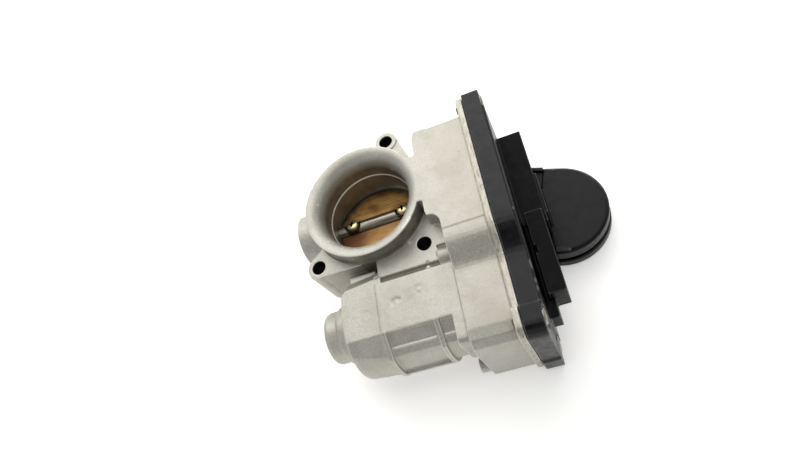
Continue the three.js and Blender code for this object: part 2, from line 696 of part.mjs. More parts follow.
function placedAtTower(geometry) {
  geometry.rotateZ(TOWER_TURN);
  geometry.translate(TOWER_X, TOWER_Y, 0);
  return toSolid(geometry);
}

function atTower(shape, along) {
  const geometry = new THREE.ExtrudeGeometry(shape, {
    depth: along[1] - along[0], bevelEnabled: false, curveSegments: 24,
  });
  geometry.translate(0, 0, along[0]);
  return placedAtTower(geometry);
}

// A round-ended slab with both of its edges chamfered.
function chamferedTongue(radius, back, [z0, z1], chamfer) {
  const full = roundTongue(radius, back);
  const narrow = roundTongue(radius - chamfer, back);
  return placedAtTower(layered(
    [[narrow, z0], [full, z0 + chamfer], [full, z1 - chamfer], [narrow, z1]], 12,
  ));
}

function connectorTower() {
  const head = chamferedTongue(TOWER_RADIUS, 8.5, [TOWER_SHOULDER, TOWER_TOP], TOWER_CHAMFER);
  const neck = atTower(outline([
    [-24, -21.3], [-4, -21.3], [-4, 22.8], [-24, 22.8],
  ]), [TOWER_SHOULDER, TOWER_TOP - 1.2]);
  const spigot = atTower(roundTongue(TOWER_RADIUS - 1.7, 8), [TOWER_MOUTH, TOWER_SHOULDER + 1]);
  const socket = atTower(roundTongue(TOWER_RADIUS - 4.2, 5.6), [TOWER_MOUTH - 1, TOWER_TOP - 2]);
  const tab = atTower(outline([
    [-16, 21.2], [-8.9, 21.2], [-8.9, 23, 0.4], [-16, 23],
  ]), [TOWER_TOP - 4, TOWER_TOP + 0.9]);
  const bar = atTower(outline([
    [0.7, -22.6], [7.3, -21.8], [7.3, -20.8, 0.3], [0.7, -20.8, 0.3],
  ]), [TOWER_TOP - 3, TOWER_TOP + 0.7]);
  const clearOfCase = block([30, COVER_OUTER - 0.5], [-60, 40], [-40, 0]);
  return cut(joined(head, neck, spigot, tab, bar), socket, clearOfCase);
}

function coverBoxes() {
  const upperBox = block([COVER_OUTER - 1, 80.8], [-30, 22.2], [-12.2, 5]);
  const lowerBox = block([71.5, 79.5], [-67, -26.8], [-6, 12]);
  const boxNotch = block([71, 72.8], [-47.4, -43.6], [8.5, 13]);
  const foot = block([COVER_OUTER - 1, 73.4], [-75, -30], [-8, 4.5]);
  const rail = block([73, 77], [-55, -27], [-10, -5]);
  const fin = block([80.6, 82], [-25.6, -4], [-12.2, 4.6]);
  return joined(upperBox, cut(lowerBox, boxNotch), foot, rail, fin);
}

function gearCover() {
  const rim = toSolid(layered([
    [outline(COVER_RIM), COVER_FACE], [outline(COVER_RIM), COVER_OUTER - COVER_CHAMFER],
    [outline(inset(COVER_RIM, COVER_CHAMFER)), COVER_OUTER],
  ]).applyMatrix4(TURN_Z_TO_X));
  const room = prismX(outline(inset(GASKET, GASKET_WIDTH + 1.2)), [
    COVER_FACE - 1, COVER_OUTER - COVER_SKIN,
  ]);
  const boxRoom = block([COVER_OUTER - COVER_SKIN - 1, 78.4], [-27.4, 19.6], [-9.6, 2.4]);
  const groove = cut(
    prismX(outline(inset(GASKET, -GAP)), [COVER_FACE - 1, COVER_FACE + 1.9]),
    prismX(outline(inset(GASKET, GASKET_WIDTH + GAP)), [COVER_FACE - 2, COVER_FACE + 3]),
  );
  const endPocket = block([COVER_FACE - 1, 65.8], [30.2, 36.8], [-14, 13]);
  const earTrims = [
    block([COVER_EAR_OUTER, 72], [28.8, 50], [-40, 40]),
    block([COVER_EAR_OUTER, 72], [-100, -76.2], [-40, 40]),
  ];
  const holes = COVER_SCREWS.flatMap(([y, z]) => [
    rodX(3.2, [50, 72], y, z, 24), rodX(4.2, [COVER_SCREW_SEAT - 0.2, 72], y, z, 28),
  ]);
  const pinBoss = ringX(6, 3 + GAP, [61.2, COVER_OUTER - 1.5], idler.x, idler.y, 24);
  const terminalSlots = [-9, 9].map((dz) => block(
    [55, 65.4], [MOTOR_Y - 9.7, MOTOR_Y - 5.8], [MOTOR_Z + dz - 0.8, MOTOR_Z + dz + 0.8],
  ));
  const terminalPads = [-9, 9].map((dz) => block(
    [62.4, 68], [MOTOR_Y - 11, MOTOR_Y - 4.4], [MOTOR_Z + dz - 2.2, MOTOR_Z + dz + 2.2],
  ));
  const shell = cut(
    joined(rim, coverBoxes(), connectorTower()), room, boxRoom, groove, endPocket,
    ...earTrims, ...holes,
  );
  return cut(joined(shell, pinBoss, ...terminalPads), ...terminalSlots);
}

function coverGasket() {
  return cut(
    prismX(outline(GASKET), [COVER_FACE, COVER_FACE + 1.6]),
    prismX(outline(inset(GASKET, GASKET_WIDTH)), [COVER_FACE - 1, COVER_FACE + 3]),
  );
}

function dustCap() {
  const skirt = chamferedTongue(TOWER_RADIUS + 0.3, 9.8, [CAP_BOTTOM, CAP_TOP], 0.5);
  const hollow = atTower(roundTongue(TOWER_RADIUS - 1.4, 8.3), [CAP_BOTTOM + 1.9, CAP_TOP + 1]);
  return cut(skirt, hollow);
}

const TERMINAL_SPACING = 3.6;
const TERMINAL_COUNT = 6;
const INSERT_Z = [TOWER_TOP - 4.6, TOWER_TOP - 2.3];

function terminalOffset(i) {
  return (i - (TERMINAL_COUNT - 1) / 2) * TERMINAL_SPACING;
}

function connectorInsert() {
  const bar = atTower(outline([
    [-4, -13, 1.5], [5, -13, 1.5], [5, 13, 1.5], [-4, 13, 1.5],
  ]), INSERT_Z);
  const holes = [];
  for (let i = 0; i < TERMINAL_COUNT; i++) {
    const v = terminalOffset(i);
    holes.push(atTower(outline([
      [-1.1, v - 0.7], [1.1, v - 0.7], [1.1, v + 0.7], [-1.1, v + 0.7],
    ]), [INSERT_Z[0] - 1, INSERT_Z[1] + 1]));
  }
  return cut(bar, ...holes);
}

function terminalPin(i) {
  const v = terminalOffset(i);
  return atTower(outline([
    [-0.8, v - 0.4], [0.8, v - 0.4], [0.8, v + 0.4], [-0.8, v + 0.4],
  ]), [INSERT_Z[0] - 3.8, INSERT_Z[1]]);
}

// ---------------------------------------------------------------- assembly
addPiece('throttle_housing', throttleHousing(), CAST);
addPiece('shaft_bearing_left', ringX(BEARING_RADIUS, SHAFT_RADIUS + GAP, [-35.4, -29.7]), STEEL);
addPiece('shaft_bearing_right', ringX(BEARING_RADIUS, SHAFT_RADIUS + GAP, [31.4, 38.4]), STEEL);
addPiece('shaft_seal_left', ringX(6.5, SHAFT_RADIUS + GAP, [-29.1, -26]), RUBBER);
addPiece('shaft_seal_right', ringX(6.5, SHAFT_RADIUS + GAP, [27.6, 30.8]), RUBBER);
addPiece('shaft_end_plug', rodX(BEARING_RADIUS, [-40, -38.4]), STEEL);
addPiece('closed_stop_screw', rodZ(2, [CASE_BOTTOM, -20.4], 50, 7.5, 20), STEEL);

addPiece('throttle_shaft', throttleShaft(), STEEL, throttleGroup);
addPiece('throttle_plate', throttlePlate(), BRONZE, throttleGroup);
addPiece('plate_screw_1', plateScrew(-PLATE_SCREW_X), ZINC_YELLOW, throttleGroup);
addPiece('plate_screw_2', plateScrew(PLATE_SCREW_X), ZINC_YELLOW, throttleGroup);
addPiece('sector_gear', sectorGear(), NYLON);
addPiece('sector_nut', cut(
  rodX(6.4, [54.3, 57], 0, 0, 6), rodX(SHAFT_RADIUS + GAP, [53, 58], 0, 0, 24),
), STEEL, throttleGroup);
addPiece('sensor_magnet', ringX(7.4, SHAFT_RADIUS + GAP, [57.3, 61.2], 0, 0, 24), MAGNET);
addPiece('return_spring', returnSpring(), STEEL);

addPiece('idler_gear', idlerGear(), NYLON);
addPiece('idler_pin', rodX(3, [CASE_START - 2, 64.4], idler.x, idler.y, 20), STEEL);

addPiece('motor_can', motorCan(), STEEL);
addPiece('motor_end_plate', motorEndPlate(), NYLON);
addPiece('motor_rotor', motorRotor(), STEEL);
addPiece('motor_pinion', motorPinion(), ZINC_YELLOW);
addPiece('motor_bush_rear', ringX(4.3, 2.05, [-20.2, -15.6], MOTOR_Y, MOTOR_Z, 24), BRONZE);
addPiece('motor_bush_front', ringX(4.5, 2.05, [38.2, 43.6], MOTOR_Y, MOTOR_Z, 24), BRONZE);
addPiece('motor_wave_washer', ringX(13.5, 8.5, [-16.7, -15.5], MOTOR_Y, MOTOR_Z, 24), STEEL);
[1, -1].forEach((side, i) => {
  addPiece(`motor_magnet_${i + 1}`, motorMagnet(side), MAGNET);
  addPiece(`motor_brush_${i + 1}`, motorBrush(side), MAGNET);
  addPiece(`motor_terminal_${i + 1}`, motorTerminal(9 * side), COPPER);
});
motorScrewPlaces().forEach(([y, z], i) => {
  addPiece(`motor_screw_${i + 1}`, capScrew(y, z, 1.5, [33.5, 42.1], 3, 44.4), STEEL);
});

addPiece('cover_gasket', coverGasket(), RUBBER);
addPiece('gear_cover', gearCover(), BLACK_PLASTIC);
COVER_SCREWS.forEach(([y, z], i) => {
  addPiece(`cover_sleeve_${i + 1}`, ringX(
    2.9, 2.3, [59.5, COVER_SCREW_SEAT - GAP], y, z, 20,
  ), STEEL);
  addPiece(`cover_screw_${i + 1}`, capScrew(
    y, z, 2, [COVER_SCREW_TIP, COVER_SCREW_SEAT], 3.8, COVER_SCREW_TOP,
  ), STEEL);
});
addPiece('sensor_board', block([63.4, 64.9], [-14, 16], [-14, 12]), BOARD_GREEN);

addPiece('connector_insert', connectorInsert(), BLACK_PLASTIC);
for (let i = 0; i < TERMINAL_COUNT; i++) {
  addPiece(`terminal_pin_${i + 1}`, terminalPin(i), COPPER);
}
addPiece('connector_dust_cap', dustCap(), BLACK_PLASTIC);

// ---------------------------------------------------------------- stand the model on its box
group.updateMatrixWorld(true);
const box = new THREE.Box3().setFromObject(group, true);
group.position.set(-(box.min.x + box.max.x) / 2, -(box.min.y + box.max.y) / 2, -box.min.z);

export default group;
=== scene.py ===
"""Drive-by-wire throttle body: the looks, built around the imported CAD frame.

Lengths in this file are millimetres in the part's working frame: the origin is where the bore's
axis crosses the throttle shaft's, X runs along the shaft towards the gear cover and Z along the
bore towards the bell mouth. at() turns such a point into the frame's metres. Only the lights, the
dark card and the table are placed in the frame's metres.
"""
import json
import math

import bmesh
import bpy
import numpy as np
from mathutils import Euler, Matrix, Vector


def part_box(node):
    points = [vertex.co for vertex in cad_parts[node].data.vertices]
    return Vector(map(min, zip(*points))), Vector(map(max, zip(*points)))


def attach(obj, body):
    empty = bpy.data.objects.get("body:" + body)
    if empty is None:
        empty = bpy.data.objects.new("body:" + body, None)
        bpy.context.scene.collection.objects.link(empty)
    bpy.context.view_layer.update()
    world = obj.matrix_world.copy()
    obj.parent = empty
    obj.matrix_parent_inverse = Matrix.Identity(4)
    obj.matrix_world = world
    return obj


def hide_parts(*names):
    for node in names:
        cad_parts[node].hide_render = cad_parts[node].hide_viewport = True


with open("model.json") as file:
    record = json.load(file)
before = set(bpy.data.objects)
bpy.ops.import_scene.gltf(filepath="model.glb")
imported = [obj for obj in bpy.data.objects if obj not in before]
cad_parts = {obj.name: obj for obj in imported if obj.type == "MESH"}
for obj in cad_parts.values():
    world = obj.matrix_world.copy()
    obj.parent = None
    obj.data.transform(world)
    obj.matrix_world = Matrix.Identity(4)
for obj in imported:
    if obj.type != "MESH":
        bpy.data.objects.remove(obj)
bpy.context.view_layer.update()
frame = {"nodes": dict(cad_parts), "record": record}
MM = 0.001

# ---------------------------------------------------------------- driving dimensions
GAP = 0.3

# bore, bell mouth and flange, as radii about the bore's axis and heights along it
BORE_RADIUS = 22.5
BARREL_RADIUS = 27.8
BELL_RADIUS = 30.0
BELL_TOP = 25.7
FUNNEL_FOOT = 10.0
FUNNEL_RADIUS = 23.0
FLARE_WIDTH = 6.2
FLARE_DEPTH = 7.0
LIP_CLEAR_X = 23.0
FLANGE_TOP = 16.0
MANIFOLD_FACE = -13.0
BOLT_FOOT = -21.0
BOLT_CENTRES = [(14.7, 36.0), (-29.7, -23.7), (24.5, -28.4)]
BOLT_HOLE_RADIUS = 3.55
EAR_RADIUS = 5.8

# shaft, its boss and the butterfly
SHAFT_RADIUS = 4.0
SHAFT_ENDS = (-36.5, 60.0)
SHAFT_BOSS_RADIUS = 14.0
SHAFT_BOSS_CENTRE = (1.2, 1.0)
SHAFT_BOSS_ENDS = (-40.5, -24.0)
REST_TILT = math.radians(-15)
PLATE_THICKNESS = 1.6
PLATE_SCREW_X = 14.1

# motor barrel: its axis, and its walls by their places along X
MOTOR_CENTRE = (-54.4, -2.3)
MOTOR_FLAT_TOP = 16.4
MOTOR_NOSE_RADIUS = 12.7
MOTOR_NOSE_ENDS = (-31.6, -26.2)
MOTOR_WALL_PLACES = (-17.4, -2.6, -2.2, 37.0)
MOTOR_WALL_RADII = (23.2, 24.3, 25.2, 25.2)
MOTOR_PANEL_RADIUS = 23.3
MOTOR_PANEL_ENDS = (-0.4, 30.8)
PARTING_BLOCK = ((31.0, 36.4), (-72.1, -71.5), (7.0, 11.4))
# each ejector mark's centre, radius, depth and width, and the angles that it spans
EJECTOR_MARKS = [
    ((6.9, -53.2), 1.9, 0.5, 0.75, (0.2, 3.6)),
    ((18.1, -49.9), 1.6, 0.3, 0.6, (0.8, 5.0)),
    ((-8.5, -56.0), 2.6, 0.1, 0.55, (0.0, math.tau)),
]

# the recess under the flange beside the motor, and the narrow ledge in front of it
POCKET_XS = (-22.0, 0.75)
POCKET_YS = (-31.0, -28.6)
POCKET_ZS = (9.55, 15.65)
LEDGE_XS = (-17.2, -3.25)
LEDGE_YS = (-35.25, -31.05)
LEDGE_ZS = (8.0, 9.65)

# gear cover, its connector tower and the dust cap
COVER_JOINT = 56.2
COVER_BOX_FOOT = 69.55
COVER_BOX_FACE = 80.5
COVER_SCREWS = [(34.6, 20.5), (33.8, -21.5), (-78.6, 21.2), (-79.0, -20.5)]
TOWER_CENTRE = (86.8, -17.4)
TOWER_RADIUS = 23.5
TOWER_TOP = -11.6
TOWER_STEP = -20.0
TOWER_FOOT = -25.2
TOWER_STEP_WIDTH = 1.7
CAP_PROUD = 0.3
CAP_ENDS = (-27.4, -22.0)

# return spring, round the shaft inside the gear case
SPRING_TURNS = 3
SPRING_START = 41.2
SPRING_LENGTH = 5.1
SPRING_RADIUS = 13.6
SPRING_WIRE_RADIUS = 0.68

# turned fasteners
THREAD_PITCH = 0.7
CAD_EDGE_WIDTH = 0.15


def middle(node):
    low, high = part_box(node)
    return (Vector(low) + Vector(high)) / 2


# The butterfly is a disc centred on the working origin.
ORIGIN = middle("throttle_plate")


def at(x, y, z):
    return ORIGIN + Vector((x, y, z)) * MM


# ---------------------------------------------------------------- camera, floor and light
CAMERA_PLACE = (81.37, -155.96, 248.5)
CAMERA_TURN = (27.3587, 20.8278, -9.2383)
CAMERA_LENS = 26.376
SENSOR_WIDTH = 36.0
NEAREST_SEEN = 0.01
CARD_PLACE = (0.02, -0.235, 0.425)
CARD_HALF = 0.17
TABLE_HALF = 4.0


def make_camera():
    data = bpy.data.cameras.new("camera")
    data.lens = CAMERA_LENS
    data.sensor_width = SENSOR_WIDTH
    data.clip_start = NEAREST_SEEN
    camera = bpy.data.objects.new("camera", data)
    bpy.context.scene.collection.objects.link(camera)
    turn = Euler([math.radians(angle) for angle in CAMERA_TURN]).to_matrix()
    camera.matrix_world = Matrix.Translation(at(*CAMERA_PLACE)) @ turn.to_4x4()
    bpy.context.scene.camera = camera


def add_light(name, place, size, power, colour):
    """A rectangular area light that faces the frame's origin, placed in metres."""
    data = bpy.data.lights.new(name, "AREA")
    data.shape = "RECTANGLE"
    data.size, data.size_y = size
    data.energy = power
    data.color = colour
    light = bpy.data.objects.new(name, data)
    bpy.context.scene.collection.objects.link(light)
    light.location = place
    light.rotation_euler = (-Vector(place)).to_track_quat("-Z", "Y").to_euler()


def make_studio():
    """A dim cool surround, with a window, a bright back wall and a ceiling."""
    world = bpy.data.worlds.new("studio")
    world.use_nodes = True
    background = world.node_tree.nodes["Background"]
    background.inputs["Color"].default_value = (0.96, 0.975, 1.0, 1)
    background.inputs["Strength"].default_value = 0.62
    bpy.context.scene.world = world
    bpy.context.scene.view_settings.view_transform = "Standard"
    add_light("window", (-0.15, 0.8, 0.95), (1.6, 0.7), 7.6, (1.0, 0.985, 0.96))
    add_light("back_wall", (0.0, 1.3, 0.35), (2.0, 0.5), 4.0, (1.0, 0.99, 0.97))
    add_light("ceiling", (0.25, 0.1, 1.3), (1.0, 1.0), 4.5, (1.0, 0.99, 0.97))


# ---------------------------------------------------------------- mesh helpers
def new_object(name, mesh):
    thing = bpy.data.objects.new(name, mesh)
    bpy.context.scene.collection.objects.link(thing)
    return thing


def from_bmesh(name, bm):
    bmesh.ops.recalc_face_normals(bm, faces=bm.faces)
    mesh = bpy.data.meshes.new(name)
    bm.to_mesh(mesh)
    bm.free()
    return new_object(name, mesh)


def applied(thing):
    """The object with its modifiers baked into its mesh."""
    depsgraph = bpy.context.evaluated_depsgraph_get()
    baked = bpy.data.meshes.new_from_object(thing.evaluated_get(depsgraph))
    thing.modifiers.clear()
    thing.data = baked
    return thing


def smooth(thing, angle=None):
    thing.data.shade_smooth()
    if angle is not None:
        thing.data.set_sharp_from_angle(angle=math.radians(angle))
    return thing


def block(bm, xs, ys, zs):
    """Adds a box, given by its lowest and highest place on each axis."""
    for vert in bmesh.ops.create_cube(bm, size=1)["verts"]:
        vert.co = at(*(
            low + (high - low) * (part + 0.5)
            for (low, high), part in zip((xs, ys, zs), vert.co)
        ))


def lathe(bm, profile, place, sides, axis="Z"):
    """Adds a turned solid: profile is (radius, along) from pole to pole, place its zero point."""
    rings = []
    for radius, along in profile:
        ring = []
        for i in range(1 if radius == 0 else sides):
            turn = math.tau * i / sides
            a, b = radius * math.cos(turn), radius * math.sin(turn)
            local = (a, b, along) if axis == "Z" else (along, a, b)
            ring.append(bm.verts.new(at(*(Vector(local) + Vector(place)))))
        rings.append(ring)
    for lower, upper in zip(rings, rings[1:]):
        for i in range(sides):
            j = (i + 1) % sides
            corners = [lower[i % len(lower)], lower[j % len(lower)],
                       upper[j % len(upper)], upper[i % len(upper)]]
            face = list(dict.fromkeys(corners))
            if len(face) > 2:
                bm.faces.new(face)


def vertices_of(mesh):
    """The mesh's vertices in the working frame's millimetres, one row each."""
    flat = np.empty(len(mesh.vertices) * 3, dtype=np.float32)
    mesh.vertices.foreach_get("co", flat)
    return (flat.reshape(-1, 3) - np.array(ORIGIN)) / MM


def normals_of(mesh):
    flat = np.empty(len(mesh.vertices) * 3, dtype=np.float32)
    mesh.vertex_normals.foreach_get("vector", flat)
    return flat.reshape(-1, 3)


def set_vertices(mesh, spots):
    mesh.vertices.foreach_set("co", (spots * MM + np.array(ORIGIN)).astype(np.float32).ravel())
    mesh.update()


def ramp(values, low, high):
    """Rises smoothly from 0 at low to 1 at high."""
    t = np.clip((values - low) / (high - low), 0, 1)
    return t * t * (3 - 2 * t)


def true_up(spots, normals, axis, centre, radius_at, span, reach=0.22):
    """Pulls a moulded surface onto the exact round wall that it came from.

    radius_at gives the wall's radius for places along the axis, span is where it applies, and
    vertices further from the wall than reach are left alone.
    """
    others = [i for i in range(3) if i != axis]
    offset = spots[:, others] - np.array(centre)
    radius = np.linalg.norm(offset, axis=1)
    outward = offset / np.maximum(radius, 1e-6)[:, None]
    facing = np.abs(np.sum(outward * normals[:, others], axis=1))
    along = spots[:, axis]
    wanted = radius_at(along)
    weight = ramp(facing, 0.9, 0.965) * (np.abs(radius - wanted) < reach)
    weight *= (along > span[0]) & (along < span[1])
    spots[:, others] += outward * ((wanted - radius) * weight)[:, None]


def lip_profile():
    """The bell mouth's flare, flat lip and outer edge, as close (radius, z) points."""
    turn = np.linspace(0, math.pi / 2, 240)
    flare = np.stack([
        FUNNEL_RADIUS + FLARE_WIDTH * (1 - np.cos(turn)),
        BELL_TOP - FLARE_DEPTH * (1 - np.sin(turn)),
    ], axis=1)
    corners = [(BELL_RADIUS - 0.25, BELL_TOP), (BELL_RADIUS, BELL_TOP - 0.3),
               (BELL_RADIUS, BELL_TOP - 4)]
    parts = [flare]
    for start, end in zip([tuple(flare[-1])] + corners, corners):
        parts.append(np.linspace(start, end, 60)[1:])
    return np.concatenate(parts)


def crisp_lip(spots, reach=0.6):
    """Moves the vertices near the bell mouth's lip onto its exact profile."""
    profile = lip_profile()
    radius = np.hypot(spots[:, 0], spots[:, 1])
    own_side = (radius < BELL_RADIUS - 0.9) | (spots[:, 0] < LIP_CLEAR_X)
    near = own_side & (radius > FUNNEL_RADIUS - 0.5) & (radius < BELL_RADIUS + 0.6)
    near &= (spots[:, 2] > BELL_TOP - FLARE_DEPTH) & (spots[:, 2] < BELL_TOP + 0.5)
    for i in np.flatnonzero(near):
        apart = profile - (radius[i], spots[i, 2])
        distance = np.hypot(apart[:, 0], apart[:, 1])
        best = int(distance.argmin())
        if distance[best] < reach:
            spots[i, :2] *= profile[best, 0] / radius[i]
            spots[i, 2] = profile[best, 1]


def steady(radius):
    """A wall with the same radius all along."""
    return lambda along: np.full_like(along, radius)


def moulded(name, node, voxel, rounding, extras=None, keep=0.4):
    """A copy of a CAD node fused with extra solids, with the soft edges of a moulding."""
    bm = bmesh.new()
    bm.from_mesh(frame["nodes"][node].data)
    if extras is not None:
        extras(bm)
    thing = from_bmesh(name, bm)
    remesh = thing.modifiers.new("fuse", "REMESH")
    remesh.mode = "VOXEL"
    remesh.voxel_size = voxel * MM * 1
    soften = thing.modifiers.new("soften", "SMOOTH")
    soften.factor = 0.5
    soften.iterations = rounding
    thin = thing.modifiers.new("thin", "DECIMATE")
    thin.ratio = keep
    applied(thing)
    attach(thing, body_of[node])
    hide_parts(node)
    return smooth(thing)


body_of = {
    node: body
    for body, nodes in frame["record"]["behaviour"]["bodies"].items()
    for node in nodes
}


# ---------------------------------------------------------------- material helpers
class Look:
    """A node material whose textures are fixed to the object, and so move with it."""

    def __init__(self, name, roughness, metallic=0.0, **sockets):
        self.material = bpy.data.materials.new(name)
        self.material.use_nodes = True
        self.tree = self.material.node_tree
        self.shader = self.tree.nodes["Principled BSDF"]
        self.shader.inputs["Roughness"].default_value = roughness
        self.shader.inputs["Metallic"].default_value = metallic
        for key, value in sockets.items():
            self.shader.inputs[key.replace("_", " ")].default_value = value
        self.place = self.node("ShaderNodeTexCoord").outputs["Object"]
        self.normal = None

    def node(self, kind, settings=None, **inputs):
        made = self.tree.nodes.new(kind)
        for key, value in (settings or {}).items():
            setattr(made, key, value)
        for key, value in inputs.items():
            self.feed(made.inputs[key.replace("_", " ")], value)
        return made

    def feed(self, socket, value):
        if isinstance(value, bpy.types.NodeSocket):
            self.tree.links.new(value, socket)
        else:
            socket.default_value = value

    def stretched(self, scale, turn=(0, 0, 0), centre=None):
        """Object coordinates, scaled and turned about a point, which becomes the origin."""
        spot = self.place
        if centre is not None:
            spot = self.node("ShaderNodeMapping", Vector=spot, Location=-Vector(centre))
            spot = spot.outputs["Vector"]
        made = self.node("ShaderNodeMapping", Vector=spot, Rotation=turn, Scale=scale)
        return made.outputs["Vector"]

    def noise(self, size, detail=4.0, place=None, rough=0.55):
        """Noise between 0 and 1 whose lumps are about size millimetres across."""
        made = self.node(
            "ShaderNodeTexNoise", Vector=place or self.place,
            Scale=1 / (size * MM), Detail=detail, Roughness=rough,
        )
        return made.outputs["Fac"]

    def grains(self, size):
        """Cells about size millimetres across, dark in the middle."""
        made = self.node("ShaderNodeTexVoronoi", Vector=self.place, Scale=1 / (size * MM))
        return made.outputs["Distance"]

    def maths(self, kind, a, b=0.0, clamp=False):
        made = self.node("ShaderNodeMath", {"operation": kind, "use_clamp": clamp})
        self.feed(made.inputs[0], a)
        self.feed(made.inputs[1], b)
        return made.outputs[0]

    def product(self, *masks):
        """Several masks multiplied together, so that it is 1 only where all of them are."""
        result = masks[0]
        for mask in masks[1:]:
            result = self.maths("MULTIPLY", result, mask)
        return result

    def spread(self, value, low, high, to_low=0.0, to_high=1.0):
        """Maps low..high to to_low..to_high smoothly, and holds the end values outside."""
        made = self.node(
            "ShaderNodeMapRange", {"interpolation_type": "SMOOTHSTEP"}, Value=value,
            From_Min=low, From_Max=high, To_Min=to_low, To_Max=to_high,
        )
        return made.outputs["Result"]

    def within(self, value, low, high, fade=0.3):
        """1 between two places, with soft ends as wide as fade, in millimetres."""
        half = fade / 2
        rising = self.spread(value, low - half, low + half)
        falling = self.spread(value, high + half, high - half)
        return self.product(rising, falling)

    def mixed(self, amount, a, b):
        """The colour a where amount is 0, and b where it is 1."""
        made = self.node("ShaderNodeMix", {"data_type": "RGBA"})
        self.feed(made.inputs["Factor"], amount)
        self.feed(made.inputs[6], a)
        self.feed(made.inputs[7], b)
        return made.outputs[2]

    def mixed_number(self, amount, a, b):
        """The number a where amount is 0, and b where it is 1."""
        made = self.node("ShaderNodeMix", {"data_type": "FLOAT"})
        self.feed(made.inputs["Factor"], amount)
        self.feed(made.inputs[2], a)
        self.feed(made.inputs[3], b)
        return made.outputs[0]

    def colour(self, value):
        self.feed(self.shader.inputs["Base Color"], value)

    def roughness(self, value):
        self.feed(self.shader.inputs["Roughness"], value)

    def bump(self, height, depth):
        """Adds a bump of the given depth in millimetres, on top of the earlier ones."""
        made = self.node("ShaderNodeBump", Height=height, Distance=depth * MM, Strength=1.0)
        if self.normal is not None:
            self.feed(made.inputs["Normal"], self.normal)
        self.normal = made.outputs["Normal"]
        self.feed(self.shader.inputs["Normal"], self.normal)

    def edges(self, low, high, share):
        """Rises from 0 to share on the outer edges of the mesh, which are painted lighter, partly
        as wear and partly as painted highlight.
        """
        made = self.node("ShaderNodeNewGeometry")
        return self.spread(made.outputs["Pointiness"], low, high, 0.0, share)

    def hollows(self, high, low, share):
        """Rises from 0 to share in the inner corners of the mesh, for grime there and painted
        shade.
        """
        made = self.node("ShaderNodeNewGeometry")
        return self.spread(made.outputs["Pointiness"], high, low, 0.0, share)

    def axis(self, which):
        """One coordinate in millimetres from the working origin."""
        apart = self.node("ShaderNodeSeparateXYZ", Vector=self.place)
        metres = self.maths("SUBTRACT", apart.outputs[which], ORIGIN["XYZ".index(which)])
        return self.maths("DIVIDE", metres, MM)

    def distance(self, a, b):
        """Length of the hypotenuse of a and b."""
        squares = self.maths("ADD", self.maths("MULTIPLY", a, a), self.maths("MULTIPLY", b, b))
        return self.maths("SQRT", squares)

    def bore_radius(self, centre=(0.0, 0.0)):
        """Distance in millimetres from an upright line, which is the bore's axis if not given."""
        return self.distance(
            self.maths("SUBTRACT", self.axis("X"), centre[0]),
            self.maths("SUBTRACT", self.axis("Y"), centre[1]),
        )


def rgb(r, g, b):
    return (r, g, b, 1.0)


def bare_casting(look, fine):
    """Sandy grey metal with broad stains and small dark specks."""
    grey = look.mixed(look.spread(fine, 0.3, 0.7), rgb(0.41, 0.395, 0.345), rgb(0.57, 0.55, 0.49))
    broad = look.spread(look.noise(14, 5, rough=0.6), 0.38, 0.72, 0, 0.5)
    grey = look.mixed(broad, grey, rgb(0.35, 0.325, 0.265))
    specks = look.spread(look.noise(1.1, 2, rough=0.8), 0.66, 0.76, 0, 0.55)
    return look.mixed(specks, grey, rgb(0.20, 0.18, 0.14))


def bell_wall_shade(look, radius, z):
    """Mask of the painted shade on the upright outside wall of the bell mouth, in patches."""
    on_wall = look.within(radius, BELL_RADIUS - 0.45, BELL_RADIUS + 0.35)
    below_lip = look.spread(z, BELL_TOP - 0.1, BELL_TOP - 0.5)
    patches = look.spread(look.noise(7, 5), 0.2, 0.8, 0.5, 0.85)
    return look.product(on_wall, below_lip, patches)


def funnel_darkening(look, inside, z):
    """Mask that darkens the funnel more and more towards its foot."""
    depth = look.spread(z, FUNNEL_FOOT + 10.0, FUNNEL_FOOT + 5.5)
    return look.product(inside, depth, look.spread(look.noise(9, 5), 0.3, 0.7, 0.7, 0.97))


def plate_gap_shadow(look, radius, y, z):
    """Mask of the painted shadow: a black ring on the bore where the butterfly's edge meets it."""
    over_plate = look.maths("ADD", z, look.maths("MULTIPLY", y, -math.tan(REST_TILT)))
    on_bore = look.spread(radius, BORE_RADIUS + 0.5, BORE_RADIUS + 0.2)
    return look.product(on_bore, look.spread(over_plate, 3.4, 0.4, 0, 0.9))


def motor_pocket_shade(look, x, y, z):
    """Mask of the painted shade in the recess under the flange beside the motor, darkest at its
    right end.
    """
    left, right = POCKET_XS
    darker = look.spread(x, left, left + 18.0, 0, 0.85)
    return look.product(
        darker, look.spread(x, right + 0.25, right - 0.25), look.within(y, *POCKET_YS, 0.4),
        look.within(z, *POCKET_ZS))


def motor_ledge_highlight(look, x, y, z):
    """Mask of the painted highlight on the narrow ledge in front of that recess."""
    return look.product(
        look.within(z, *LEDGE_ZS), look.within(y, *LEDGE_YS), look.within(x, *LEDGE_XS))


def bore_step_highlight(look, radius, z):
    """Mask of the machined step where the funnel meets the bore, painted pale both for its bare
    metal and as a painted highlight.
    """
    return look.product(
        look.spread(radius, FUNNEL_RADIUS + 0.4, FUNNEL_RADIUS + 0.2),
        look.within(z, FUNNEL_FOOT - 0.15, FUNNEL_FOOT + 0.5, 0.25))


def bolt_hole_shade(look, centre, z):
    """Mask of the painted shade inside one bolt hole."""
    return look.product(
        look.spread(look.bore_radius(centre), BOLT_HOLE_RADIUS + 0.17, BOLT_HOLE_RADIUS + 0.03),
        look.spread(z, FLANGE_TOP - 0.2, FLANGE_TOP - 1.2))


